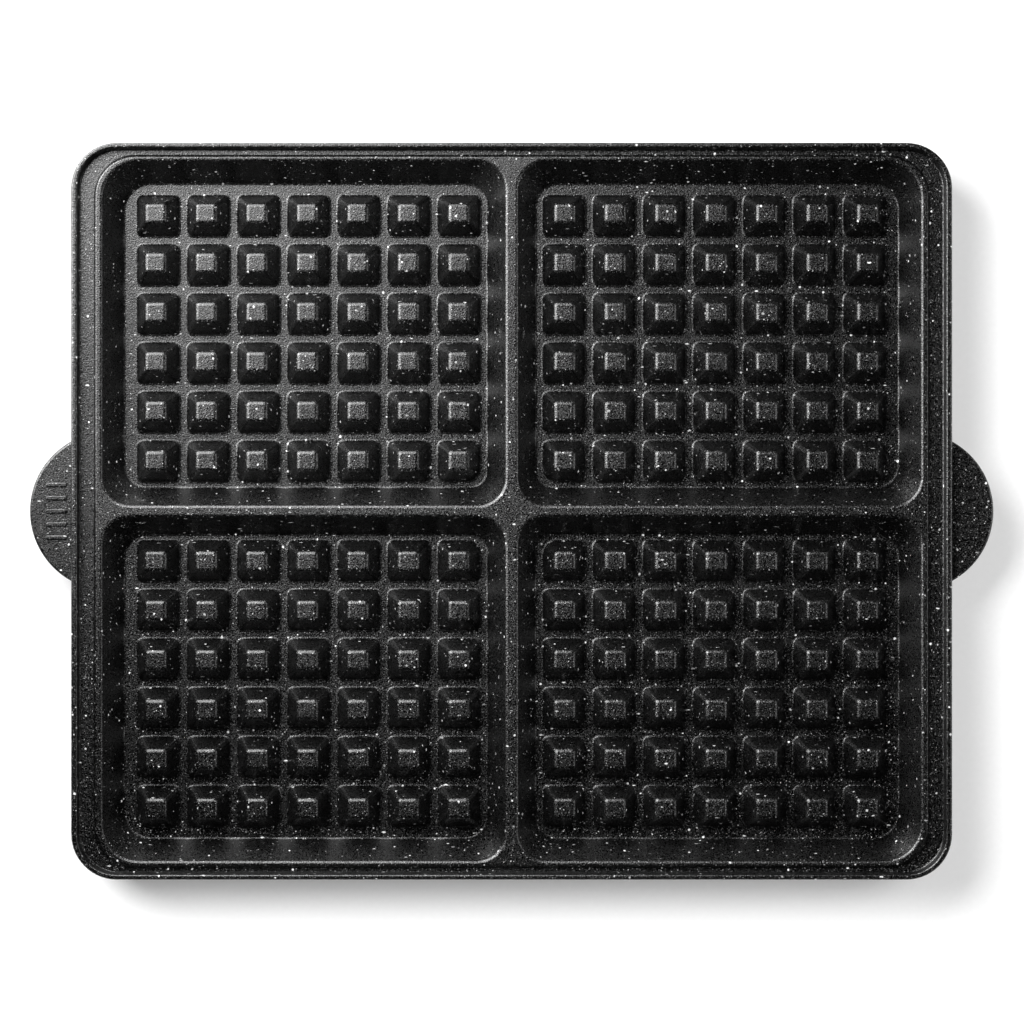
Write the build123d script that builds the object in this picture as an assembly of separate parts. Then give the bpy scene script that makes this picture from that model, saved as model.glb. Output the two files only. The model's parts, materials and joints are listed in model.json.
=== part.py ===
from build123d import *
import os

# Removable waffle plate with its own sealed heater. Millimetres, +Z up, cooking side up.
# Origin: centre of the plate in plan, at the level that the feet stand on. +X right, +Y to the rear (connector side).

# ---- driving dimensions: casting, cooking side -------------------------------------------------------------------
RIM_X, RIM_Y, RIM_R = 140.0, 117.1, 14.5          # outer rim, half sizes and corner radius
RIM_IN_X, RIM_IN_Y, RIM_IN_R = 138.36, 115.8, 12.9  # inner edge of the rim's top
MOAT_X, MOAT_Y, MOAT_R = 137.43, 114.77, 12.0     # foot of the rim's inner wall
BORD_FX, BORD_FY, BORD_FR = 133.2, 113.6, 13.3    # foot of the raised border
BORD_TX, BORD_TY, BORD_TR = 132.46, 112.85, 12.7  # top of the raised border
Z_RIM = 26.0
Z_LAND = 23.8                                     # border and divider
Z_MOAT = 22.5
Z_PEG = 20.6
Z_FLOOR = 11.8                                    # cavity floor
WALL = 3.0
Z_UNDER = Z_FLOOR - WALL                          # flat underside of the four tubs
Z_WEB = Z_MOAT - WALL                             # underside of the moat
Z_SKIRT = 14.5                                    # lower edge of the rim's skirt
CAV_X0, CAV_X1, CAV_Y0, CAV_Y1 = 1.8, 130.6, 1.6, 111.64    # cavity mouth
FLR_X0, FLR_X1, FLR_Y0, FLR_Y1 = 7.7, 124.8, 7.46, 105.5    # cavity floor
CAV_R = (12.0, 9.2, 9.0)                          # corner radii: outer corner, at a divider's end, at the crossing
FLR_R = (8.8, 7.5, 5.6)
SIDE_T = 3.35                                     # tub wall, measured level
PEG_X, PEG_DX, PEG_NX = 16.9, 16.14, 7
PEG_Y, PEG_DY, PEG_NY = 16.03, 15.81, 6
PEG_BX, PEG_BY, PEG_BR = 13.5, 13.1, 1.7
PEG_TX, PEG_TY, PEG_TR = 6.45, 6.15, 0.6
PEG_CR = 4.6                                      # foot corner of the peg next to the crossing
TAB_CX, TAB_R = 128.2, 25.4                       # half-round lifting tabs
TAB_Z0, TAB_Z1 = 20.0, 23.0
GRIP_X, GRIP_L, GRIP_W, GRIP_H, GRIP_P = 145.0, 6.8, 1.5, 0.5, 4.2

# ---- driving dimensions: under the casting -----------------------------------------------------------------------
FOOT_X, FOOT_Y, FOOT_R0, FOOT_R1 = 131.3, 109.2, 3.2, 4.3
EL_R, EL_Z = 3.25, 6.4                            # heater tube, radius and level of its centre line
EL_BEND = 16.0
RIDGE_W, RIDGE_Z = 12.4, 3.1
GROOVE = 0.05                                     # clearance round the tube
EL_END = 54.0
EL_PATH = [(-54, 84), (-106, 84), (-106, -82), (-40, -82), (-40, 40), (40, 40), (40, -82), (106, -82), (106, 84), (54, 84)]
PAN_X, PAN_Y, PAN_R, PAN_T = 125.5, 106.3, 11.0, 0.7
PAN_Z0, PAN_Z1 = 0.6, 8.2
WELL_Z = 2.8                                      # inside of the screw wells
SCREWS = [(sx * 118.5, sy * 98.5) for sx in (-1, 1) for sy in (-1, 1)] + [(-118.5, 0), (118.5, 0)] + [
    (sx * 54.0, sy * 98.5) for sx in (-1, 1) for sy in (-1, 1)]
STRAPS = [(-106, 42, 0), (-106, -40, 0), (106, 42, 0), (106, -40, 0), (-40, -20, 0), (40, -20, 0), (-72, -82, 90), (72, -82, 90)]
STRAP_L, STRAP_W, STRAP_T, STRAP_S = 23.6, 10.0, 0.8, 8.7
BLADE_W, BLADE_T, BLADE_Z = 6.3, 0.8, 4.6
BLADE_X = 10.5
TAB_EX = 40.0                                     # element tabs
SLIP = 0.05


def rr(x0, x1, y0, y1, r, z):
    return Pos((x0 + x1) / 2, (y0 + y1) / 2, z) * RectangleRounded(x1 - x0, y1 - y0, r)


def rr4(x0, x1, y0, y1, radii, z):
    """Rectangle with its own radius at each corner: (x1, y1), (x0, y1), (x0, y0), (x1, y0)."""
    arcs = []
    for k, (x, y, ux, uy) in enumerate(((x1, y1, -1, -1), (x0, y1, 1, -1), (x0, y0, 1, 1), (x1, y0, -1, 1))):
        arcs.append(CenterArc((x + ux * radii[k], y + uy * radii[k], z), radii[k], 90 * k, 90))
    edges = []
    for k in range(4):
        edges += [arcs[k], Line(arcs[k] @ 1, arcs[(k + 1) % 4] @ 0)]
    return make_face(edges)


def taper4(lo, hi):
    return loft([rr4(*lo), rr4(*hi)], ruled=True)


def corners(outer, end, cross, sx, sy):
    """Radii for rr4 in the quadrant (sx, sy): outer corner, the two at the dividers' ends, and the one at the crossing."""
    return {(1, 1): (outer, end, cross, end), (-1, 1): (end, outer, end, cross),
            (-1, -1): (cross, end, outer, end), (1, -1): (end, cross, end, outer)}[sx, sy]


def block(x, y, r, z0, z1):
    return extrude(rr(-x, x, -y, y, r, z0), z1 - z0)


def taper(lo, hi):
    return loft([rr(*lo), rr(*hi)], ruled=True)


def box(x0, x1, y0, y1, z0, z1):
    return Pos((x0 + x1) / 2, (y0 + y1) / 2, (z0 + z1) / 2) * Box(x1 - x0, y1 - y0, z1 - z0)


def disc(x, y, r, z0, z1):
    return Pos(x, y, (z0 + z1) / 2) * Cylinder(r, z1 - z0)


def save(part, name, label=None):
    part.label = label or name
    export_step(part, f"parts/{name}.step")


os.makedirs("parts", exist_ok=True)
QUADS = [(sx, sy) for sx in (-1, 1) for sy in (-1, 1)]


def quad(x0, x1, sx):
    return (x0, x1) if sx > 0 else (-x1, -x0)


# ---- waffle_plate ------------------------------------------------------------------------------------------------
element_path = FilletPolyline(*[(x, y, EL_Z) for x, y in EL_PATH], radius=EL_BEND)
start = Plane(origin=element_path @ 0, z_dir=element_path % 0, x_dir=(0, 1, 0))
up = 1 if start.y_dir.Z > 0 else -1

plate = block(RIM_X, RIM_Y, RIM_R, Z_SKIRT, Z_RIM)
plate -= taper((-MOAT_X, MOAT_X, -MOAT_Y, MOAT_Y, MOAT_R, Z_MOAT), (-RIM_IN_X, RIM_IN_X, -RIM_IN_Y, RIM_IN_Y, RIM_IN_R, Z_RIM + 0.001))
plate -= block(RIM_X - WALL, RIM_Y - WALL, RIM_R - WALL, Z_SKIRT, Z_WEB)
plate += taper((-BORD_FX, BORD_FX, -BORD_FY, BORD_FY, BORD_FR, Z_MOAT - 0.5), (-BORD_TX, BORD_TX, -BORD_TY, BORD_TY, BORD_TR, Z_LAND))

under = []
ax = (FLR_X0 - CAV_X0) / (Z_LAND - Z_FLOOR)
bx = (CAV_X1 - FLR_X1) / (Z_LAND - Z_FLOOR)
ay = (FLR_Y0 - CAV_Y0) / (Z_LAND - Z_FLOOR)
by = (CAV_Y1 - FLR_Y1) / (Z_LAND - Z_FLOOR)
for sx, sy in QUADS:
    level = {}
    for z in (Z_UNDER, Z_WEB + 0.5):
        d = Z_LAND - z
        r = corners(*(c + (f - c) * d / (Z_LAND - Z_FLOOR) + WALL for c, f in zip(CAV_R, FLR_R)), sx, sy)
        x = quad(CAV_X0 + ax * d - SIDE_T, CAV_X1 - bx * d + SIDE_T, sx)
        y = quad(CAV_Y0 + ay * d - SIDE_T, CAV_Y1 - by * d + SIDE_T, sy)
        level[z] = (*x, *y, r, z)
    under.append(taper4(*level.values()))
# feet, at the four corners
for sx, sy in QUADS:
    under.append(Pos(sx * FOOT_X, sy * FOOT_Y, (Z_WEB + 0.5) / 2) * Cone(FOOT_R0, FOOT_R1, Z_WEB + 0.5))
# ribs between the skirt and the tubs
for s in (-1, 1):
    for y in (-92, -66, -40, 40, 66, 92):
        under.append(box(*sorted((s * 127.5, s * (RIM_X - 1))), y - 1.1, y + 1.1, 15.2, Z_WEB + 0.5))
    for x in (-108, -80, -36, 36, 80, 108):
        under.append(box(x - 1.1, x + 1.1, *sorted((s * 110.8, s * (RIM_Y - 1))), 15.2, Z_WEB + 0.5))
# lifting tabs
for s in (-1, 1):
    half = disc(s * TAB_CX, 0, TAB_R, TAB_Z0, TAB_Z1) & box(*sorted((s * 138.2, s * 160)), -30, 30, TAB_Z0 - 1, TAB_Z1 + 1)
    under.append(half)
    # generic grip ribs
    for n in range(-2, 3):
        under.append(Pos(s * GRIP_X, n * GRIP_P, TAB_Z1 - 0.5) * extrude(SlotOverall(GRIP_L, GRIP_W), GRIP_H + 0.5))
# ridge that holds the heater, and the closed flange that the pan seals on
ridge = Pos(0, up * (RIDGE_Z + 11.0 - 2 * EL_Z) / 2) * Rectangle(RIDGE_W, 11.0 - RIDGE_Z)
under.append(sweep(start * ridge, path=element_path))
under.append(block(126.7, 107.3, 11.0, Z_UNDER, 11.0) - block(121.0, 101.6, 6.0, Z_UNDER - 1, 12.0))
# screw bosses
for x, y in SCREWS:
    under.append(disc(x, y, 4.0, WELL_Z, 11.0 if y else Z_WEB + 0.5))
for x, y, a in STRAPS:
    for s in (-1, 1):
        dx, dy = (s * STRAP_S, 0) if a == 0 else (0, s * STRAP_S)
        under.append(disc(x + dx, y + dy, 3.0, RIDGE_Z, 10.8))
for s in (-1, 1):
    under.append(disc(s * 24.5, 98, 4.0, 7.0, 10.8))
under.append(disc(0, 57, 4.2, 5.0, Z_WEB + 0.5))
under.append(box(-31, -19, 48.5, 65, 6.85, 10.8))
# latch lugs: two at the rear, one at the front
for x, s in ((-62, 1), (62, 1), (0, -1)):
    lug = box(x - 8, x + 8, *sorted((s * 113.2, s * 116.2)), 6.5, 17.0)
    lug -= box(x - 4.5, x + 4.5, *sorted((s * 110, s * 120)), 8.5, 12.0)
    under.append(lug)
plate = plate + under

for sx, sy in QUADS:
    fx, fy = quad(FLR_X0, FLR_X1, sx), quad(FLR_Y0, FLR_Y1, sy)
    cx, cy = quad(CAV_X0 - ax, CAV_X1 + bx, sx), quad(CAV_Y0 - ay, CAV_Y1 + by, sy)
    above = (c + (c - f) / (Z_LAND - Z_FLOOR) for c, f in zip(CAV_R, FLR_R))
    plate -= taper4((*fx, *fy, corners(*FLR_R, sx, sy), Z_FLOOR), (*cx, *cy, corners(*above, sx, sy), Z_LAND + 1.0))

cuts = [sweep(start * (Circle(EL_R + GROOVE) + Pos(0, up * (RIDGE_Z - 1 - EL_Z) / 2) * Rectangle(2 * (EL_R + GROOVE), EL_Z - RIDGE_Z + 1)), path=element_path)]
for x, y in SCREWS:
    cuts.append(disc(x, y, 1.5, WELL_Z - 1, 10.2))
for x, y, a in STRAPS:
    for s in (-1, 1):
        dx, dy = (s * STRAP_S, 0) if a == 0 else (0, s * STRAP_S)
        cuts.append(disc(x + dx, y + dy, 1.3, RIDGE_Z - 1, 9.0))
for s in (-1, 1):
    cuts.append(disc(s * 24.5, 98, 1.5, 6.0, 10.2))
cuts.append(disc(0, 57, 1.5, 4.0, 13.0))
cuts.append(disc(-25, 61.2, 1.3, 5.0, 9.6))
plate = plate - cuts

step_in = 1.0
slope_x = (PEG_BX - PEG_TX) / (Z_PEG - Z_FLOOR)
slope_y = (PEG_BY - PEG_TY) / (Z_PEG - Z_FLOOR)
bx0, by0 = PEG_BX + slope_x * step_in, PEG_BY + slope_y * step_in
peg_foot, peg_top = (-bx0 / 2, bx0 / 2, -by0 / 2, by0 / 2), (-PEG_TX / 2, PEG_TX / 2, -PEG_TY / 2, PEG_TY / 2)
peg = taper((*peg_foot, PEG_BR + 0.1, Z_FLOOR - step_in), (*peg_top, PEG_TR, Z_PEG))
pegs = []
for sx, sy in QUADS:
    # the peg next to the crossing follows the cavity's corner
    r = PEG_BR + 0.1
    first = taper4((*peg_foot, corners(r, r, PEG_CR + 0.1, sx, sy), Z_FLOOR - step_in), (*peg_top, (PEG_TR,) * 4, Z_PEG))
    for i in range(PEG_NX):
        for j in range(PEG_NY):
            pegs.append(Pos(sx * (PEG_X + i * PEG_DX), sy * (PEG_Y + j * PEG_DY)) * (peg if i + j else first))
plate = plate + pegs
save(plate, "waffle_plate")
print("waffle_plate volume", round(plate.volume), "solids", len(plate.solids()), "valid", plate.is_valid)

# ---- heater ------------------------------------------------------------------------------------------------------
element = sweep(start * Circle(EL_R), path=element_path)
save(element, "heating_element")
print("element length", round(element_path.length, 1))

seals, terminals = [], []
for s in (-1, 1):
    along = Pos(s * (EL_END - 3.0), 84, EL_Z) * Rot(0, 90, 0)
    bead = along * Cylinder(2.35, 6.0) - along * Cylinder(1.2, 8.0)
    bead -= Pos(s * (EL_END - 2.2), 84, EL_Z) * Rot(0, 90, 0) * (Cylinder(4, 0.8) - Cylinder(2.0, 1.0))
    seals.append(bead)
    pin = Pos(s * 43.0, 84, EL_Z) * Rot(0, 90, 0) * Cylinder(1.15, 10.6)
    weld = box(*sorted((s * (TAB_EX - 2.4), s * (TAB_EX + 2.4))), 82.8, 85.2, BLADE_Z - BLADE_T / 2, EL_Z + 0.6)
    tab = box(*sorted((s * (TAB_EX - BLADE_W / 2), s * (TAB_EX + BLADE_W / 2))), 74.0, 86.0, BLADE_Z - BLADE_T / 2, BLADE_Z + BLADE_T / 2)
    tab -= disc(s * TAB_EX, 77.0, 0.8, 0, 9)
    terminals.append(pin + weld + tab)
save(Compound(children=seals), "element_end_seals")
save(Compound(children=terminals), "element_terminals")

straps, strap_screws = [], []
for x, y, a in STRAPS:
    flat = extrude(SlotOverall(STRAP_L, STRAP_W), STRAP_T)
    for s in (-1, 1):
        flat -= disc(s * STRAP_S, 0, 1.5, -1, 2)
    flat += Pos(0, 0, -0.5) * extrude(Rectangle(9.0, 3.0), 0.5) - Pos(0, 0, -0.5) * extrude(Rectangle(7.6, 1.6), 0.2)
    straps.append(Pos(x, y, RIDGE_Z - STRAP_T) * Rot(0, 0, a) * flat)
    for s in (-1, 1):
        dx, dy = (s * STRAP_S, 0) if a == 0 else (0, s * STRAP_S)
        head = disc(x + dx, y + dy, 2.6, RIDGE_Z - STRAP_T - 0.8, RIDGE_Z - STRAP_T)
        head += disc(x + dx, y + dy, 1.25, RIDGE_Z - STRAP_T, 8.6)
        head -= box(x + dx - 1.7, x + dx + 1.7, y + dy - 0.35, y + dy + 0.35, 0, RIDGE_Z - STRAP_T - 0.35)
        head -= box(x + dx - 0.35, x + dx + 0.35, y + dy - 1.7, y + dy + 1.7, 0, RIDGE_Z - STRAP_T - 0.35)
        strap_screws.append(head)
save(Compound(children=straps), "element_straps")
save(Compound(children=strap_screws), "strap_screws")

# ---- pan, gasket, screws -----------------------------------------------------------------------------------------
pan = block(PAN_X, PAN_Y, PAN_R, PAN_Z0, PAN_Z1)
pan = fillet(pan.faces().sort_by(Axis.Z)[0].edges(), 1.8)
inner = block(PAN_X - PAN_T, PAN_Y - PAN_T, PAN_R - PAN_T, PAN_Z0 + PAN_T, PAN_Z1 + 5)
inner = fillet(inner.faces().sort_by(Axis.Z)[0].edges(), 1.1)
pan -= inner
BEADS = [(-73, 0, 112, 12), (73, 0, 112, 12), (-13, -26, 96, 10), (13, -26, 96, 10)]
for x, y, l, w in BEADS:
    slot = Rot(0, 0, 90) * SlotOverall(l, w)
    slot_in = Rot(0, 0, 90) * SlotOverall(l - 2.4, w - 2.4)
    pan += Pos(x, y, 0) * loft([Pos(0, 0, PAN_Z0 + 0.3) * slot, Pos(0, 0, PAN_Z0 + PAN_T + 1.2) * slot_in], ruled=True)
for x, y in SCREWS:
    pan += Pos(x, y, (1.0 + WELL_Z) / 2) * Cone(6.1, 5.2, WELL_Z - 1.0)
for x, y, l, w in BEADS:
    slot = Rot(0, 0, 90) * SlotOverall(l - 1.4, w - 1.4)
    slot_in = Rot(0, 0, 90) * SlotOverall(l - 3.8, w - 3.8)
    pan -= Pos(x, y, 0) * loft([Pos(0, 0, PAN_Z0 - 0.1) * slot, Pos(0, 0, PAN_Z0 + 1.2) * slot_in], ruled=True)
for x, y in SCREWS:
    pan -= Pos(x, y, (PAN_Z0 - 0.1 + WELL_Z - PAN_T) / 2) * Cone(5.4, 4.5, WELL_Z - PAN_T - PAN_Z0 + 0.1)
    pan -= disc(x, y, 1.7, 0, 5)
pan -= box(-20.05, 20.05, 100, 110, PAN_Z0 + PAN_T, 12)
save(pan, "back_cover")

gasket = block(126.5, 107.2, 12.0, 7.6, Z_UNDER) - block(123.9, 104.7, 9.4, 7.5, 9)
gasket -= block(PAN_X + SLIP, PAN_Y + SLIP, PAN_R + SLIP, 7.5, PAN_Z1 + SLIP) - block(PAN_X - PAN_T - SLIP, PAN_Y - PAN_T - SLIP, PAN_R - PAN_T - SLIP, 7.4, 8.5)
save(gasket, "cover_gasket")


def screw(x, y, z, head_r, head_h, shank_r, shank_l, slot=1.8):
    s = disc(x, y, head_r, z - head_h, z)
    s = fillet(s.edges().sort_by(Axis.Z)[0], min(0.5, head_h * 0.4))
    s += disc(x, y, shank_r, z, z + shank_l)
    for w, h in ((slot, 0.4), (0.4, slot)):
        s -= box(x - w, x + w, y - h, y + h, z - head_h - 1, z - head_h * 0.45)
    return s


save(Compound(children=[screw(x, y, WELL_Z - PAN_T, 2.9, 1.4, 1.45, 7.6) for x, y in SCREWS]), "cover_screws")

# ---- connector ---------------------------------------------------------------------------------------------------
house = box(-18, 18, 88, 107.6, 2.2, 7.0) + box(-19.4, 19.4, 107.4, 116.6, 1.2, 8.2)
house = fillet(house.edges().filter_by(Axis.Y).filter_by(lambda e: abs(e.center().X) > 19), 1.4)
for s in (-1, 1):
    house += box(*sorted((s * 17, s * 29.5)), 92, 104, 5.4, 7.0)
    house -= disc(s * 24.5, 98, 1.6, 4, 8)
house -= box(-16.6, 16.6, 108.6, 117, 2.4, 6.8)
house -= box(5.0, 8.0, 109.5, 117, 1.0, 3.0)
for x in (-BLADE_X, 0, BLADE_X):
    house -= box(x - BLADE_W / 2 - SLIP, x + BLADE_W / 2 + SLIP, 80, 112, BLADE_Z - BLADE_T / 2 - SLIP, BLADE_Z + BLADE_T / 2 + SLIP)
save(house, "connector_housing")

for name, x, tip in (("live_blade", -BLADE_X, 115.0), ("neutral_blade", BLADE_X, 115.0), ("earth_blade", 0, 116.0)):
    blade = box(x - BLADE_W / 2, x + BLADE_W / 2, 79, tip, BLADE_Z - BLADE_T / 2, BLADE_Z + BLADE_T / 2)
    blade = chamfer(blade.faces().sort_by(Axis.Y)[-1].edges(), 0.3)
    blade -= disc(x, 82, 0.8, 0, 9)
    save(blade, name)

collar = box(-20, 20, 104.7, 107.2, PAN_Z0 + PAN_T, 7.6) - box(-18.03, 18.03, 104, 108, 2.17, 7.03)
save(collar, "connector_gasket")
save(Compound(children=[screw(s * 24.5, 98, 5.4, 2.8, 1.6, 1.45, 4.6) for s in (-1, 1)]), "connector_screws")

# ---- thermal cut-out, leads and terminals ------------------------------------------------------------------------
CUT_X, CUT_Y, CUT_R, CUT_L = -25.2, 52.0, 2.2, 11.0
axis_x = Pos(CUT_X, CUT_Y, BLADE_Z) * Rot(0, 90, 0)
link = fillet((axis_x * Cylinder(CUT_R, CUT_L)).edges(), 0.6) + axis_x * Cylinder(0.6, CUT_L + 3.0)
save(link, "thermal_cutout")
crimps = [Pos(CUT_X + s * (CUT_L / 2 + 2.2), CUT_Y, BLADE_Z) * Rot(0, 90, 0) * (Cylinder(1.75, 4.0) - Cylinder(1.36, 6.0)) for s in (-1, 1)]
save(Compound(children=crimps), "splice_crimps")

wrap = Circle(2.85) - Circle(2.25) - Pos(0, 5) * Rectangle(10, 10)
wrap += Pos(-2.55, 1.1) * Rectangle(0.6, 2.25) + Pos(2.55, 0.85) * Rectangle(0.6, 1.75)
wrap += Pos(7.05, 1.95) * Rectangle(9.6, 0.6)
clip = Pos(CUT_X - 4, CUT_Y, BLADE_Z) * extrude(Plane(origin=(0, 0, 0), x_dir=(0, 1, 0), z_dir=(1, 0, 0)) * wrap, 8)
clip -= disc(-25, 61.2, 1.5, 0, 9)
save(clip, "cutout_clip")
save(screw(-25, 61.2, 6.25, 2.6, 1.5, 1.25, 3.2, 1.6), "cutout_screw")


def lead(points, radius, name):
    path = FilletPolyline(*[(x, y, BLADE_Z) for x, y in points], radius=radius) if radius else Line(*[(x, y, BLADE_Z) for x, y in points])
    wire = sweep(Plane(origin=path @ 0, z_dir=path % 0) * Circle(1.3), path=path)
    save(wire, name)
    print(name, "length", round(path.length, 1), "bend", radius)


lead([(-BLADE_X, 77), (-BLADE_X, CUT_Y), (-17.8, CUT_Y)], 5.5, "live_lead")
lead([(-32.6, CUT_Y), (-TAB_EX, CUT_Y), (-TAB_EX, 72.0)], 5.5, "cutout_lead")
lead([(BLADE_X, 77), (BLADE_X, 51), (TAB_EX, 51), (TAB_EX, 72.0)], 9.0, "neutral_lead")
lead([(0, 77), (0, 63.6)], 0, "earth_lead")


def receptacle(x, y):
    """Push-on receptacle whose mouth opens towards +Y at y, with its crimp barrel behind it."""
    r = box(x - 3.8, x + 3.8, y - 8.2, y, BLADE_Z - 1.5, BLADE_Z + 1.1)
    r -= box(x - 3.2, x + 3.2, y - 8.0, y + 1, BLADE_Z - 0.45, BLADE_Z + 0.45)
    r -= box(x - 0.5, x + 0.5, y - 9, y + 1, BLADE_Z + 0.4, BLADE_Z + 2)
    r += Pos(x, y - 11.7, BLADE_Z) * Rot(90, 0, 0) * Cylinder(1.9, 7.2)
    r -= Pos(x, y - 12.2, BLADE_Z) * Rot(90, 0, 0) * Cylinder(1.35, 6.6)
    return r


save(Compound(children=[receptacle(x, 86.6) for x in (-BLADE_X, 0, BLADE_X)] + [receptacle(s * TAB_EX, 81.6) for s in (-1, 1)]), "push_on_terminals")

ring = disc(0, 57, 4.0, 4.2, 5.0) + box(-2.0, 2.0, 57, 63.0, 4.2, 5.0)
ring += Pos(0, 65.4, BLADE_Z) * Rot(90, 0, 0) * Cylinder(1.9, 5.0)
ring -= Pos(0, 66.4, BLADE_Z) * Rot(90, 0, 0) * Cylinder(1.35, 5.8)
ring -= disc(0, 57, 1.7, 0, 9)
save(ring, "earth_ring_terminal")
save(screw(0, 57, 4.2, 3.0, 1.8, 1.45, 8.0), "earth_screw")
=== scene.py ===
import json
import math

import bpy
import numpy as np
from mathutils import Matrix, Vector
from mathutils.geometry import delaunay_2d_cdt


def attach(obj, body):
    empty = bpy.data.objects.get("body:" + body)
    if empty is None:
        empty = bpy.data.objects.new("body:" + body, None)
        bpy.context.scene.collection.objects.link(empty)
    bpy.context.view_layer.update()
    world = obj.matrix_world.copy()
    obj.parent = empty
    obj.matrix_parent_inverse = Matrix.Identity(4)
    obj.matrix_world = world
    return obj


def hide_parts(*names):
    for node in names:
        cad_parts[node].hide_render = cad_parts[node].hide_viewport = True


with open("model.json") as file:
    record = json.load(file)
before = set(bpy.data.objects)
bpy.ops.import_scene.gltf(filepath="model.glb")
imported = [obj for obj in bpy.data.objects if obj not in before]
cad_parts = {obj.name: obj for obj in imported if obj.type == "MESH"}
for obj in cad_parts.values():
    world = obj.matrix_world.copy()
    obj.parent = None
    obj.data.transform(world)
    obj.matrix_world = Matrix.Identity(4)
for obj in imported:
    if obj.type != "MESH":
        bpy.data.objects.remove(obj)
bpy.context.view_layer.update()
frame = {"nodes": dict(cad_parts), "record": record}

MM = 0.001

# ---- dimensions of the casting, millimetres ----------------------------------------------------------------------
RIM = (140.0, 117.1, 14.5)
RIM_IN = (138.05, 115.5, 12.6)
MOAT = (137.75, 115.05, 12.3)
BORD_F = (133.2, 113.6, 13.3)
BORD_T = (132.46, 112.85, 12.7)
WALL = 3.0
Z_RIM, Z_LAND, Z_MOAT, Z_PEG, Z_FLOOR, Z_UNDER, Z_WEB, Z_SKIRT = 26.0, 23.8, 22.5, 20.6, 11.8, 8.8, 19.5, 14.5
CAV = (1.8, 130.6, 1.6, 111.64)
FLR = (7.7, 124.8, 7.46, 105.5)
CAV_R = (12.0, 9.2, 9.0)   # corner radii: outer corner, at a divider's end, at the crossing
FLR_R = (8.8, 7.5, 5.6)
SIDE_T = 3.35
PEG_X, PEG_DX, PEG_NX = 16.9, 16.14, 7
PEG_Y, PEG_DY, PEG_NY = 16.03, 15.81, 6
PEG_B = (6.75, 6.55, 1.7)
PEG_T = (3.225, 3.075, 1.15)
PEG_CR = 4.6               # foot corner of the peg next to the crossing
TAB_CX, TAB_R, TAB_Z0, TAB_Z1 = 128.2, 25.4, 20.0, 23.0
EL_PATH = [(-54, 84), (-106, 84), (-106, -82), (-40, -82), (-40, 40), (40, 40), (40, -82), (106, -82), (106, 84), (54, 84)]
EL_BEND, EL_Z, RIDGE_Z, RIDGE_H, GROOVE_R = 16.0, 6.4, 3.1, 6.2, 3.3
SCREWS = [(sx * 118.5, sy * 98.5) for sx in (-1, 1) for sy in (-1, 1)] + [(-118.5, 0), (118.5, 0)] + [
    (sx * 54.0, sy * 98.5) for sx in (-1, 1) for sy in (-1, 1)]
STRAPS = [(-106, 42, 0), (-106, -40, 0), (106, 42, 0), (106, -40, 0), (-40, -20, 0), (40, -20, 0), (-72, -82, 90), (72, -82, 90)]
QUADS = [(sx, sy) for sx in (-1, 1) for sy in (-1, 1)]


# ---- mesh building -----------------------------------------------------------------------------------------------
def rect_loop(x0, x1, y0, y1, r0, r1, r2, r3, n=8):
    """Rounded rectangle, counter-clockwise seen from above, with a radius for each corner from (x1, y1) on."""
    pts = []
    for px, py, sx, sy, r, a in ((x1, y1, -1, -1, r0, 0), (x0, y1, 1, -1, r1, 90), (x0, y0, 1, 1, r2, 180), (x1, y0, -1, 1, r3, 270)):
        for k in range(n + 1):
            t = math.radians(a + 90 * k / n)
            pts.append((px + sx * r + r * math.cos(t), py + sy * r + r * math.sin(t)))
    return pts


def disc_loop(x, y, r, n=28):
    return [(x + r * math.cos(2 * math.pi * k / n), y + r * math.sin(2 * math.pi * k / n)) for k in range(n)]


def key(x0, x1, y0, y1, r, z):
    return (x0, x1, y0, y1, *(r if isinstance(r, tuple) else (r,) * 4), z)


def sym(k, z):
    return key(-k[0], k[0], -k[1], k[1], k[2], z)


def grow(k, d, z=None):
    """The same rounded rectangle, d larger on every side."""
    return (k[0] - d, k[1] + d, k[2] - d, k[3] + d, *(max(r + d, 0.05) for r in k[4:8]), k[8] if z is None else z)


def corners(radii, sx, sy):
    outer, end, cross = radii
    return {(1, 1): (outer, end, cross, end), (-1, 1): (end, outer, end, cross),
            (-1, -1): (cross, end, outer, end), (1, -1): (end, cross, end, outer)}[sx, sy]


def rounded(keys, radii, segs=5):
    """Section through a row of rounded rectangles, each inner one rounded off at its own radius of section. The
    first and last only give directions, so the result begins and ends on their straight runs."""
    keys = [np.array(k, float) for k in keys]
    out = []
    for a, k, b, rad in zip(keys, keys[1:], keys[2:], radii):
        u, w = (k - a)[[1, 8]], (b - k)[[1, 8]]
        lu, lw = np.linalg.norm(u), np.linalg.norm(w)
        turn = math.acos(max(-1.0, min(1.0, float(u @ w) / (lu * lw))))
        if rad <= 0:
            out.append(k)
            continue
        t = rad * math.tan(turn / 2)
        e0, e1, weight = k + (a - k) * t / lu, k + (b - k) * t / lw, math.cos(turn / 2)
        for i in range(segs + 1):
            s = i / segs
            c0, c1, c2 = (1 - s) ** 2, 2 * s * (1 - s) * weight, s * s
            out.append((c0 * e0 + c1 * k + c2 * e1) / (c0 + c1 + c2))
    return out


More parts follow.
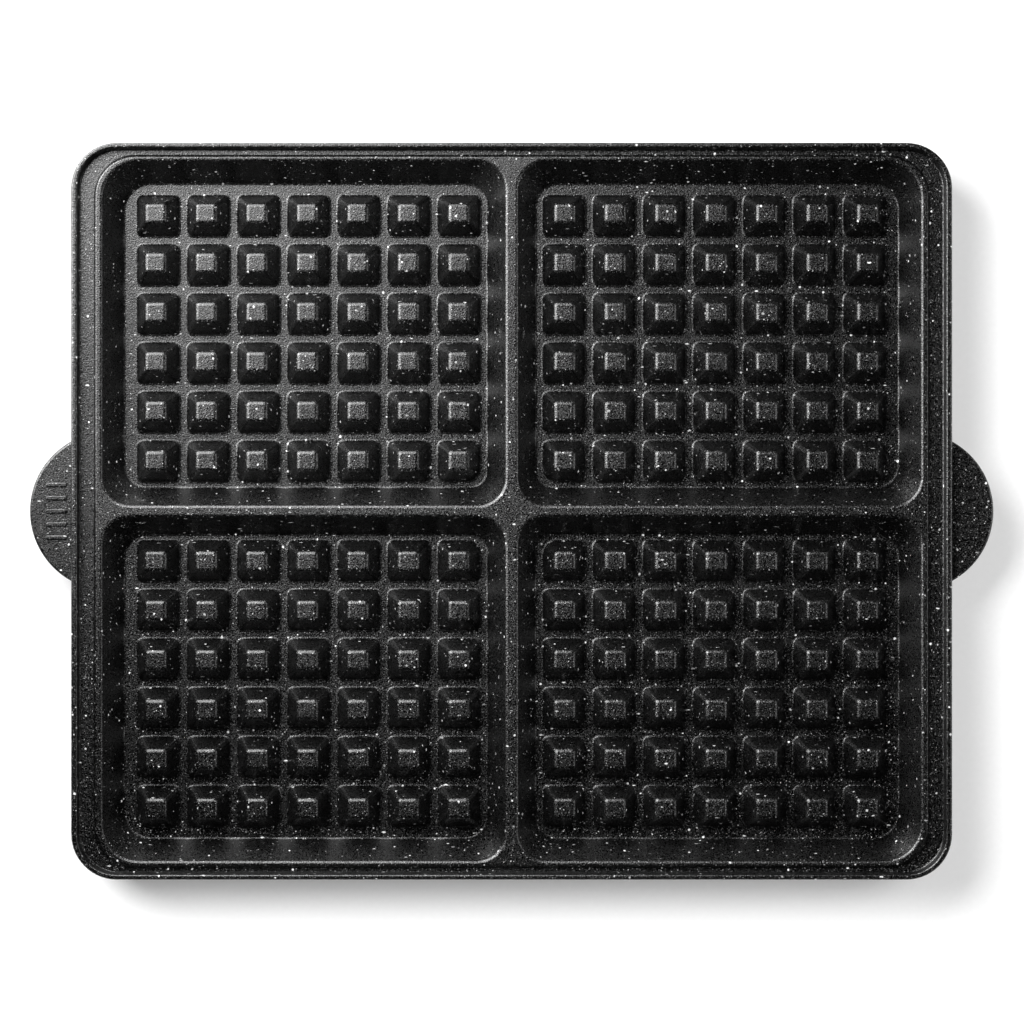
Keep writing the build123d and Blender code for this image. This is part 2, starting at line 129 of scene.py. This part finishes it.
class Solid:
    def __init__(self):
        self.v, self.f = [], []

    def loop(self, pts, z):
        i = len(self.v)
        self.v += [(x, y, z) for x, y in pts]
        return list(range(i, len(self.v)))

    def bridge(self, a, b):
        n = len(a)
        self.f += [(a[i], a[(i + 1) % n], b[(i + 1) % n], b[i]) for i in range(n)]

    def cap(self, loop, up=True):
        self.f.append(tuple(loop) if up else tuple(reversed(loop)))

    def stack(self, loops):
        """Skin over loops (points, z); returns the first and the last one's indices."""
        idx = [self.loop(p, z) for p, z in loops]
        for a, b in zip(idx, idx[1:]):
            self.bridge(a, b)
        return idx[0], idx[-1]

    def section(self, keys, n=8):
        return self.stack([(rect_loop(*k[:8], n), k[8]) for k in keys])

    def fill(self, outer, holes, up=True):
        """Flat face inside outer and outside the convex holes."""
        ids = list(outer) + [i for h in holes for i in h]
        owner = {i: 0 for i in outer}
        for j, h in enumerate(holes):
            owner.update({i: j + 1 for i in h})
        where = {i: k for k, i in enumerate(ids)}
        edges = [(where[l[i]], where[l[(i + 1) % len(l)]]) for l in [list(outer)] + [list(h) for h in holes] for i in range(len(l))]
        made = delaunay_2d_cdt([Vector(self.v[i][:2]) for i in ids], edges, [], 0, 1e-6, True)
        for tri in made[2]:
            t = [ids[made[3][k][0]] for k in tri]
            own = {owner[i] for i in t}
            if len(own) == 1 and own != {0}:
                continue
            a, b, c = (Vector(self.v[i][:2]) for i in t)
            if ((b - a).cross(c - a) > 0) != up:
                t.reverse()
            self.f.append(tuple(t))

    def add(self, other):
        i = len(self.v)
        self.v += other.v
        self.f += [tuple(k + i for k in f) for f in other.f]

    def object(self, name):
        me = bpy.data.meshes.new(name)
        me.from_pydata([(x * MM, y * MM, z * MM) for x, y, z in self.v], [], self.f)
        me.validate()
        o = bpy.data.objects.new(name, me)
        bpy.context.scene.collection.objects.link(o)
        return o


def lathe(x, y, prof, n=28):
    """Closed turned solid; prof is (radius, z) from the bottom up."""
    s = Solid()
    a, b = s.stack([(disc_loop(x, y, r, n), z) for r, z in prof])
    s.cap(a, False)
    s.cap(b, True)
    return s


def block(x0, x1, y0, y1, z0, z1, r=0.5, e0=0.3, e1=0.3, n=3):
    """Closed box with rounded upright edges, and its lower and upper edges eased."""
    k = key(x0, x1, y0, y1, r, z0)
    keys = []
    for i in range(n + 1):
        t = math.radians(90 * i / n)
        keys.append(grow(k, -e0 * (1 - math.sin(t)), z0 + e0 * (1 - math.cos(t))) if e0 else k)
    for i in range(n + 1):
        t = math.radians(90 * i / n)
        keys.append(grow(k, -e1 * (1 - math.cos(t)), z1 - e1 * (1 - math.sin(t))) if e1 else grow(k, 0, z1))
    if not e0:
        keys = keys[n:]
    if not e1:
        keys = keys[: len(keys) - n]
    s = Solid()
    a, b = s.section(keys, n)
    s.cap(a, False)
    s.cap(b, True)
    return s


def bend_path(points, radius, n=9):
    """Flat path through points with tangent arcs at its corners; returns points and tangents."""
    p = [Vector(q) for q in points]
    out = [(p[0], (p[1] - p[0]).normalized())]
    for a, b, c in zip(p, p[1:], p[2:]):
        u, w = (b - a).normalized(), (c - b).normalized()
        turn = math.atan2(u.cross(w), u.dot(w))
        side = 1 if turn > 0 else -1
        start = b - u * radius * math.tan(abs(turn) / 2)
        centre = start + Vector((-u.y, u.x)) * radius * side
        for k in range(n + 1):
            rot = Matrix.Rotation(turn * k / n, 2)
            out.append((centre + rot @ (start - centre), rot @ u))
    out.append((p[-1], (p[-1] - p[-2]).normalized()))
    return out


def sweep_flat(path, prof):
    """Closed solid along a level path; prof is (offset to the left, z), clockwise seen along the path."""
    s = Solid()
    rows = []
    for p, t in path:
        left = Vector((-t.y, t.x))
        i = len(s.v)
        s.v += [(p.x + left.x * u, p.y + left.y * u, z) for u, z in prof]
        rows.append(list(range(i, i + len(prof))))
    for a, b in zip(rows, rows[1:]):
        s.bridge(a, b)
    s.cap(rows[0], False)
    s.cap(rows[-1], True)
    return s


def boolean(o, other, operation):
    m = o.modifiers.new("b", "BOOLEAN")
    m.operation, m.object, m.solver = operation, other, "MANIFOLD"
    dg = bpy.context.evaluated_depsgraph_get()
    me = bpy.data.meshes.new_from_object(o.evaluated_get(dg))
    o.modifiers.clear()
    old, o.data = o.data, me
    bpy.data.meshes.remove(old)
    old = other.data
    bpy.data.objects.remove(other)
    bpy.data.meshes.remove(old)


def spread(label, a, b):
    """Lowest label over everything that pairs a-b connect."""
    while True:
        low = np.minimum(label[a], label[b])
        new = label.copy()
        np.minimum.at(new, a, low)
        np.minimum.at(new, b, low)
        new = new[new]
        if (new == label).all():
            return label
        label = new


def shade(o, angle=40.0):
    """Smooth shading in which flat faces stay flat: each corner's normal leans to the largest flat region that meets there."""
    me = o.data
    n, nl, ne = len(me.polygons), len(me.loops), len(me.edges)
    nor, area = np.empty(n * 3), np.empty(n)
    me.polygons.foreach_get("normal", nor)
    me.polygons.foreach_get("area", area)
    nor = nor.reshape(-1, 3)
    vi, ei = np.empty(nl, np.int64), np.empty(nl, np.int64)
    me.loops.foreach_get("vertex_index", vi)
    me.loops.foreach_get("edge_index", ei)
    start, total = np.empty(n, np.int64), np.empty(n, np.int64)
    me.polygons.foreach_get("loop_start", start)
    me.polygons.foreach_get("loop_total", total)
    poly = np.repeat(np.arange(n), total)
    nxt = np.arange(nl) + 1
    nxt[start + total - 1] = start
    prv = np.empty(nl, np.int64)
    prv[nxt] = np.arange(nl)
    co = np.empty(len(me.vertices) * 3)
    me.vertices.foreach_get("co", co)
    co = co.reshape(-1, 3)
    e1, e0 = co[vi[nxt]] - co[vi], co[vi[prv]] - co[vi]
    e1 /= np.maximum(np.linalg.norm(e1, axis=1, keepdims=True), 1e-12)
    e0 /= np.maximum(np.linalg.norm(e0, axis=1, keepdims=True), 1e-12)
    corner = np.arccos(np.clip((e1 * e0).sum(1), -1, 1)) + 1e-4
    order = np.argsort(ei, kind="stable")
    la, lb = order[:-1], order[1:]
    two = ei[la] == ei[lb]
    la, lb = la[two], lb[two]
    fa, fb = poly[la], poly[lb]
    dot = (nor[fa] * nor[fb]).sum(1)
    flat = dot > math.cos(math.radians(0.4))
    region = spread(np.arange(n), fa[flat], fb[flat])
    size = np.bincount(region, area, minlength=n)[region] ** 1.5
    soft = dot > math.cos(math.radians(angle))
    sharp = np.zeros(ne, bool)
    sharp[ei[la[~soft]]] = True
    group = spread(np.arange(nl), np.concatenate([la[soft], nxt[la[soft]]]), np.concatenate([nxt[lb[soft]], lb[soft]]))
    weight = corner * size[poly]
    normal = np.stack([np.bincount(group, weight * nor[poly, k], minlength=nl)[group] for k in range(3)], 1)
    normal /= np.maximum(np.linalg.norm(normal, axis=1, keepdims=True), 1e-20)
    me.polygons.foreach_set("use_smooth", np.ones(n, bool))
    me.edges.foreach_set("use_edge_sharp", sharp)
    me.normals_split_custom_set([tuple(v) for v in normal])
    me.update()


# ---- the casting -------------------------------------------------------------------------------------------------
def quad(x0, x1, y0, y1, radii, z, sx, sy):
    x = (x0, x1) if sx > 0 else (-x1, -x0)
    y = (y0, y1) if sy > 0 else (-y1, -y0)
    return key(*x, *y, corners(radii, sx, sy), z)


def casting():
    s = Solid()
    inner = (RIM[0] - WALL, RIM[1] - WALL, RIM[2] - WALL)
    keys = [
        grow(sym(inner, Z_WEB), -3), sym(inner, Z_WEB), sym(inner, Z_SKIRT), sym(RIM, Z_SKIRT), sym(RIM, Z_RIM),
        sym(RIM_IN, Z_RIM), sym(MOAT, Z_MOAT), sym(BORD_F, Z_MOAT), sym(BORD_T, Z_LAND), grow(sym(BORD_T, Z_LAND), -2)]
    web, land = s.section(rounded(keys, [0.6, 0.5, 0.7, 0.8, 0.7, 0.55, 0.12, 0.75], 6), 14)
    deep = Z_LAND - Z_FLOOR
    lean = [(f - c) / deep for c, f in zip(CAV, FLR)]

    def tub(z, sx, sy):
        d = Z_LAND - z
        x0, x1, y0, y1 = (c + g * d + e * SIDE_T for c, g, e in zip(CAV, lean, (-1, 1, -1, 1)))
        return quad(x0, x1, y0, y1, [c + (f - c) * d / deep + WALL for c, f in zip(CAV_R, FLR_R)], z, sx, sy)

    mouths, tubs = [], []
    for sx, sy in QUADS:
        lo, hi = tub(Z_UNDER, sx, sy), tub(Z_WEB, sx, sy)
        bottom, top = s.section(rounded([grow(lo, -3), lo, hi, grow(hi, 3)], [1.2, 0.5], 5), 12)
        s.cap(bottom, False)
        tubs.append(top)
        edge, foot = quad(*CAV, CAV_R, Z_LAND, sx, sy), quad(*FLR, FLR_R, Z_FLOOR, sx, sy)
        mouth, floor = s.section(rounded([grow(edge, 3), edge, foot, grow(foot, -3)], [1.2, 1.0], 7), 14)
        mouths.append(mouth)
        pegs = []
        for i in range(PEG_NX):
            for j in range(PEG_NY):
                x, y = sx * (PEG_X + i * PEG_DX), sy * (PEG_Y + j * PEG_DY)
                # the peg next to the crossing of the dividers follows the cavity's corner there
                r = PEG_B[2] if i + j else corners((PEG_B[2], PEG_B[2], PEG_CR), sx, sy)
                base = key(x - PEG_B[0], x + PEG_B[0], y - PEG_B[1], y + PEG_B[1], r, Z_FLOOR)
                top = key(x - PEG_T[0], x + PEG_T[0], y - PEG_T[1], y + PEG_T[1], PEG_T[2], Z_PEG)
                a, b = s.section(rounded([grow(base, 2), base, top, grow(top, -1.1)], [1.0, 1.5], 6), 4)
                s.cap(b, True)
                pegs.append(a)
        s.fill(floor, pegs)
    s.fill(land, mouths)
    s.fill(web, tubs, False)
    return s.object("plate_casting")


def tab(side):
    s = Solid()
    rows = []

    def row(d, z, n=44):
        r = TAB_R - d
        a = math.acos((138.2 - TAB_CX) / r)
        pts = [(side * (TAB_CX + r * math.cos(-a + 2 * a * k / n)), r * math.sin(-a + 2 * a * k / n)) for k in range(n + 1)]
        rows.append((pts if side > 0 else pts[::-1], z))

    for i in range(5):
        t = math.radians(90 * i / 4)
        row(0.6 * (1 - math.sin(t)), TAB_Z0 + 0.6 * (1 - math.cos(t)))
    for i in range(6):
        t = math.radians(90 * i / 5)
        row(0.9 * (1 - math.cos(t)), TAB_Z1 - 0.9 * (1 - math.sin(t)))
    a, b = s.stack(rows)
    s.cap(a, False)
    s.cap(b, True)
    return s


def underside():
    first, second, cuts = Solid(), Solid(), Solid()
    for side in (-1, 1):
        first.add(tab(side))
        # generic grip ribs on the lifting tab
        for n in range(-2, 3):
            x, y = side * 145.0, n * 4.2
            second.add(block(x - 3.4, x + 3.4, y - 0.75, y + 0.75, TAB_Z1 - 0.5, TAB_Z1 + 0.5, 0.74, 0, 0.42, 5))
        for y in (-92, -66, -40, 40, 66, 92):
            first.add(block(*sorted((side * 129.3, side * 139.0)), y - 1.1, y + 1.1, 15.2, Z_WEB + 0.5, 0.3, 0.5, 0))
        for x in (-108, -80, -36, 36, 80, 108):
            first.add(block(x - 1.1, x + 1.1, *sorted((side * 110.8, side * 116.1)), 15.2, Z_WEB + 0.5, 0.3, 0.5, 0))
    for sx, sy in QUADS:
        first.add(lathe(sx * 131.3, sy * 109.2, [(2.6, 0.0), (3.0, 0.15), (3.2, 0.6), (4.3, Z_WEB + 0.5)]))
    for x, side in ((-62, 1), (62, 1), (0, -1)):
        first.add(block(x - 8, x + 8, *sorted((side * 113.2, side * 116.2)), 6.5, 17.0, 0.8, 0.6, 0.6))
        cuts.add(block(x - 4.5, x + 4.5, *sorted((side * 110, side * 120)), 8.5, 12.0, 0.4, 0.5, 0.5))
    path = bend_path(EL_PATH, EL_BEND)
    first.add(sweep_flat(path, [(-RIDGE_H, 11.0), (-RIDGE_H, RIDGE_Z), (RIDGE_H, RIDGE_Z), (RIDGE_H, 11.0)]))
    groove = [(GROOVE_R * math.cos(math.radians(a)), EL_Z + GROOVE_R * math.sin(math.radians(a))) for a in range(0, 181, 15)]
    groove = [(GROOVE_R, RIDGE_Z - 1)] + groove + [(-GROOVE_R, RIDGE_Z - 1)]
    longer = [(path[0][0] - path[0][1] * 0.4, path[0][1])] + path + [(path[-1][0] + path[-1][1] * 0.4, path[-1][1])]
    cuts.add(sweep_flat(longer, groove))
    ring = Solid()
    loops = [ring.loop(rect_loop(-hx, hx, -hy, hy, r, r, r, r, 8), z) for hx, hy, r, z in (
        (121.0, 101.6, 6.0, 11.0), (121.0, 101.6, 6.0, Z_UNDER - 0.01), (126.65, 107.25, 11.0, Z_UNDER - 0.01), (126.65, 107.25, 11.0, 11.0))]
    for a, b in zip(loops, loops[1:] + loops[:1]):
        ring.bridge(a, b)
    first.add(ring)
    first.add(block(-31, -19, 48.5, 65, 6.85, 10.8, 0.5, 0.3, 0))
    for x, y in SCREWS:
        second.add(lathe(x, y, [(3.8, 2.8), (4.0, 3.0), (4.0, 11.0 if y else Z_WEB + 0.5)]))
        cuts.add(lathe(x, y, [(1.5, 1.8), (1.5, 10.2)], 20))
    for x, y, a in STRAPS:
        for side in (-1, 1):
            px, py = (x + side * 8.7, y) if a == 0 else (x, y + side * 8.7)
            second.add(lathe(px, py, [(2.8, RIDGE_Z), (3.0, RIDGE_Z + 0.2), (3.0, 10.8)]))
            cuts.add(lathe(px, py, [(1.3, RIDGE_Z - 1), (1.3, 9.0)], 20))
    for side in (-1, 1):
        second.add(lathe(side * 24.5, 98, [(4.0, 7.0), (4.0, 10.8)]))
        cuts.add(lathe(side * 24.5, 98, [(1.5, 6.0), (1.5, 10.2)], 20))
    second.add(lathe(0, 57, [(4.2, 5.0), (4.2, Z_WEB + 0.5)]))
    cuts.add(lathe(0, 57, [(1.5, 4.0), (1.5, 13.0)], 20))
    cuts.add(lathe(-25, 61.2, [(1.3, 5.0), (1.3, 9.6)], 20))
    return first, second, cuts


plate = casting()
first, second, cuts = underside()
boolean(plate, first.object("u1"), "UNION")
boolean(plate, second.object("u2"), "UNION")
boolean(plate, cuts.object("u3"), "DIFFERENCE")
shade(plate)
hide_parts("waffle_plate")
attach(plate, "root")


# ---- materials ---------------------------------------------------------------------------------------------------
class Nodes:
    def __init__(self, name):
        self.mat = bpy.data.materials.new(name)
        self.mat.use_nodes = True
        self.nt = self.mat.node_tree
        self.nt.nodes.clear()
        self.out = self.nt.nodes.new("ShaderNodeOutputMaterial")
        self.coord = self.nt.nodes.new("ShaderNodeTexCoord").outputs["Object"]

    def set(self, node, ins):
        for key, val in ins.items():
            sock = node.inputs[key]
            if isinstance(val, bpy.types.NodeSocket):
                self.nt.links.new(val, sock)
            else:
                sock.default_value = val

    def new(self, kind, ins=None, **props):
        node = self.nt.nodes.new("ShaderNode" + kind)
        for key, val in props.items():
            setattr(node, key, val)
        self.set(node, ins or {})
        return node

    def math(self, op, a, b=0.0, clamp=False):
        return self.new("Math", {0: a, 1: b}, operation=op, use_clamp=clamp).outputs[0]

    def noise(self, scale, detail=2.0, rough=0.5, vector=None, distortion=0.0):
        return self.new("TexNoise", {"Vector": vector or self.coord, "Scale": scale, "Detail": detail, "Roughness": rough, "Distortion": distortion}).outputs["Fac"]

    def remap(self, value, a, b, c, d, clamp=True):
        return self.new("MapRange", {"Value": value, "From Min": a, "From Max": b, "To Min": c, "To Max": d}, clamp=clamp).outputs["Result"]

    def mix(self, fac, a, b):
        node = self.nt.nodes.new("ShaderNodeMix")
        node.data_type = "RGBA"
        for sock, val in ((node.inputs[0], fac), (node.inputs[6], a), (node.inputs[7], b)):
            if isinstance(val, bpy.types.NodeSocket):
                self.nt.links.new(val, sock)
            else:
                sock.default_value = val
        return node.outputs[2]

    def scaled(self, scale, turn=(0, 0, 0), vector=None):
        return self.new("Mapping", {"Vector": vector or self.coord, "Rotation": turn, "Scale": scale}).outputs[0]

    def bump(self, height, metres, strength=1.0, normal=None):
        ins = {"Height": height, "Distance": metres, "Strength": strength}
        if normal:
            ins["Normal"] = normal
        return self.new("Bump", ins).outputs[0]

    def principled(self, **ins):
        node = self.new("BsdfPrincipled", {k.replace("_", " "): v for k, v in ins.items()})
        self.nt.links.new(node.outputs[0], self.out.inputs["Surface"])
        return self.mat


def grey(v, a=1.0):
    return (v, v, v, a)


def coating():
    n = Nodes("coated_casting")
    wob = n.new("TexNoise", {"Vector": n.coord, "Scale": 1500.0, "Detail": 1.0}).outputs["Color"]
    wob = n.new("VectorMath", {0: wob, 1: (0.5, 0.5, 0.5)}, operation="SUBTRACT").outputs[0]
    wob = n.new("VectorMath", {0: wob, "Scale": 0.00045}, operation="SCALE").outputs[0]
    ragged = n.new("VectorMath", {0: n.coord, 1: wob}, operation="ADD").outputs[0]
    colour = n.mix(n.remap(n.noise(60.0, 2.0), 0.35, 0.65, 0.0, 1.0), grey(0.0003), grey(0.0008))
    # paler flecks in the black: fine dust, dots, a few large flecks, and slivers in two directions; each layer thins
    # out on faces that turn away from up, down to its given part on steep faces
    rise = n.new("SeparateXYZ", {0: n.new("NewGeometry").outputs["Normal"]}).outputs[2]
    layers = [  # cell mm, share, radius from, to, squeeze, turn, power of the tone, darkest, palest, part on steep faces
        (0.42, 0.90, 0.18, 0.32, (1, 1, 1), (0, 0, 0), 1.6, 0.01, 0.25, 0.02),
        (0.85, 0.28, 0.15, 0.27, (1, 1, 1), (0.4, 0.3, 0.9), 1.4, 0.10, 0.50, 0.32),
        (2.3, 0.30, 0.11, 0.21, (1, 1, 1), (0.7, 0.2, 0.5), 1.0, 0.25, 0.85, 0.6),
        (2.6, 0.30, 0.07, 0.13, (0.40, 1, 1), (0.1, 0.2, 0.5), 1.0, 0.25, 0.85, 0.6),
        (2.6, 0.30, 0.07, 0.13, (0.40, 1, 1), (-0.2, 0.3, 2.3), 1.0, 0.25, 0.85, 0.6),
    ]
    for cell, share, small, large, squeeze, turn, power, dark, pale, steep in layers:
        vec = n.scaled(squeeze, turn, ragged)
        v = n.new("TexVoronoi", {"Vector": vec, "Scale": 1000.0 / cell, "Randomness": 1.0}, feature="F1")
        rgb = n.new("SeparateColor", {0: v.outputs["Color"]})
        r = n.remap(rgb.outputs[0], 1.0 - share, 1.0, small, large)
        r = n.math("MULTIPLY", r, n.math("GREATER_THAN", rgb.outputs[0], n.remap(rise, 0.42, 0.92, 1.0 - share * steep, 1.0 - share)))
        mask = n.remap(n.math("SUBTRACT", r, v.outputs["Distance"]), 0.0, 0.06, 0.0, 1.0)
        tone = n.remap(n.math("POWER", rgb.outputs[1], power), 0.0, 1.0, dark, pale)
        fleck = n.new("CombineColor", {0: tone, 1: tone, 2: tone}).outputs[0]
        colour = n.mix(mask, colour, fleck)
    fine = n.noise(2600.0, 0.0)
    broad = n.noise(420.0, 2.0, 0.5)
    bump = n.bump(broad, 0.00002)
    bump = n.bump(fine, 0.00009, normal=bump)
    rough = n.remap(n.noise(2400.0, 0.0, vector=n.scaled((1, 1, 1), (0.3, 0.8, 0.2))), 0.3, 0.7, 0.20, 0.50)
    return n.principled(Base_Color=colour, Roughness=rough, Normal=bump, IOR=1.45)


def metal(name, colour, rough, grain=(1.0, 1.0, 1.0), tint=0.25, metallic=1.0):
    n = Nodes(name)
    brushed = n.noise(900.0, 4.0, 0.6, n.scaled(grain))
    patch = n.noise(70.0, 3.0, 0.55)
    dark = tuple(c * (1 - tint) for c in colour) + (1.0,)
    base = n.mix(n.remap(patch, 0.3, 0.7, 0.0, 1.0), dark, (*colour, 1.0))
    base = n.mix(n.remap(brushed, 0.35, 0.75, 0.0, 0.25), base, (*(min(1.0, c * 1.15) for c in colour), 1.0))
    r = n.math("ADD", n.remap(brushed, 0.3, 0.7, rough - 0.06, rough + 0.06), n.remap(patch, 0.3, 0.7, -0.03, 0.05))
    return n.principled(Base_Color=base, Metallic=metallic, Roughness=r, Normal=n.bump(brushed, 0.00001, 0.6))


def moulded(name, colour, rough, grain=1800.0, depth=0.00002, sheen=0.0):
    n = Nodes(name)
    g = n.noise(grain, 2.0, 0.6)
    patch = n.noise(45.0, 3.0, 0.5)
    base = n.mix(n.remap(patch, 0.3, 0.7, 0.0, 1.0), tuple(c * 0.82 for c in colour) + (1.0,), (*colour, 1.0))
    base = n.mix(n.remap(g, 0.55, 0.8, 0.0, 0.15), base, tuple(min(1.0, c * 1.6 + 0.02) for c in colour) + (1.0,))
    return n.principled(Base_Color=base, Roughness=n.remap(g, 0.3, 0.7, rough - 0.05, rough + 0.07), Normal=n.bump(g, depth), IOR=1.48)


MATERIALS = {
    "coated_casting": coating(),
    "element_sheath": metal("element_sheath", (0.16, 0.15, 0.14), 0.5, tint=0.4, metallic=0.85),
    "seal_ceramic": moulded("seal_ceramic", (0.8, 0.78, 0.72), 0.7, 2500.0, 0.00002),
    "terminal_metal": metal("terminal_metal", (0.72, 0.7, 0.66), 0.3),
    "pressed_steel": metal("pressed_steel", (0.55, 0.555, 0.56), 0.38, (0.06, 1.0, 1.0)),
    "screw_steel": metal("screw_steel", (0.6, 0.6, 0.59), 0.3),
    "silicone": moulded("silicone", (0.36, 0.07, 0.045), 0.55),
    "connector_plastic": moulded("connector_plastic", (0.025, 0.025, 0.026), 0.45, 1400.0, 0.00003),
    "cutout_case": moulded("cutout_case", (0.7, 0.67, 0.58), 0.75, 1200.0, 0.00004),
    "lead_brown": moulded("lead_brown", (0.14, 0.055, 0.025), 0.5),
    "lead_blue": moulded("lead_blue", (0.03, 0.08, 0.3), 0.5),
    "lead_green": moulded("lead_green", (0.05, 0.24, 0.05), 0.5),
}
plate.data.materials.clear()
plate.data.materials.append(MATERIALS["coated_casting"])
for row in frame["record"]["subparts"]:
    node = frame["nodes"].get(row["node"])
    if node is not None and row["node"] != "waffle_plate":
        for slot in node.material_slots:
            slot.material = MATERIALS[row["material_slot"]]

# ---- floor, light and camera -------------------------------------------------------------------------------------
n = Nodes("paper")
fibre = n.noise(600.0, 3.0, 0.6)
n.principled(Base_Color=n.mix(n.remap(fibre, 0.3, 0.7, 0.0, 1.0), grey(0.88), grey(0.9)), Roughness=0.9, Specular_IOR_Level=0.0)
me = bpy.data.meshes.new("floor")
me.from_pydata([(-3, -3, 0), (3, -3, 0), (3, 3, 0), (-3, 3, 0)], [], [(0, 1, 2, 3)])
floor = bpy.data.objects.new("floor", me)
me.materials.append(n.mat)
bpy.context.scene.collection.objects.link(floor)

scene = bpy.context.scene
world = bpy.data.worlds.new("studio")
world.use_nodes = True
world.node_tree.nodes["Background"].inputs["Color"].default_value = grey(1.0)
world.node_tree.nodes["Background"].inputs["Strength"].default_value = 0.12
world.cycles_visibility.glossy = False
world.cycles.sampling_method = "NONE"
scene.world = world


def softbox(name, at, size, radiance, gloss, aim=(0, 0, 0), grid=None):
    """Soft light at one place, through a grid of half angle grid where there is one.
    Some light only the paper and the matt colour, the others only the gloss."""
    light = bpy.data.lights.new(name, "AREA")
    light.shape, light.size, light.size_y = "RECTANGLE", size[0], size[1]
    light.energy = radiance * math.pi * size[0] * size[1]
    if grid:
        light.spread = 2 * grid
        light.energy *= (math.tan(grid) - grid) / math.tan(grid)
    o = bpy.data.objects.new(name, light)
    o.location = at
    back = (Vector(at) - Vector(aim)).normalized()
    side = Vector((0, 0, 1)).cross(back).normalized()
    o.rotation_mode = "QUATERNION"
    o.rotation_quaternion = Matrix((side, back.cross(side), back)).transposed().to_quaternion()
    o.visible_camera = False
    o.visible_glossy, o.visible_diffuse = gloss, not gloss
    scene.collection.objects.link(o)
    return o


softbox("key_soft", (-0.346, 0.264, 0.589), (0.48, 0.465), 12.2, False)
softbox("fill_soft", (0.703, -0.015, 1.124), (0.945, 0.945), 4.72, False)
softbox("key_gloss", (-0.113, 0.222, 0.199), (0.278, 0.435), 17.5, True, (0.195, -0.138, 0), math.atan(3.0))
softbox("key_left", (-0.174, 0.084, 0.136), (0.158, 0.262), 33.4, True, (0, 0, 0), math.atan(0.73))
softbox("side", (0.62, 0.03, 0.21), (0.4, 0.31), 4.6, True)

camera = bpy.data.objects.new("camera", bpy.data.cameras.new("camera"))
camera.location = (0.00011, -0.00025, 0.9985)
camera.rotation_euler = (0, 0, 0)
camera.data.sensor_width = 36.0
camera.data.lens = 107.66
camera.data.clip_start, camera.data.clip_end = 0.05, 20.0
scene.collection.objects.link(camera)
scene.camera = camera
scene.view_settings.view_transform = "Standard"
scene.view_settings.look = "None"
scene.view_settings.exposure = 0.0
scene.view_settings.gamma = 1.0
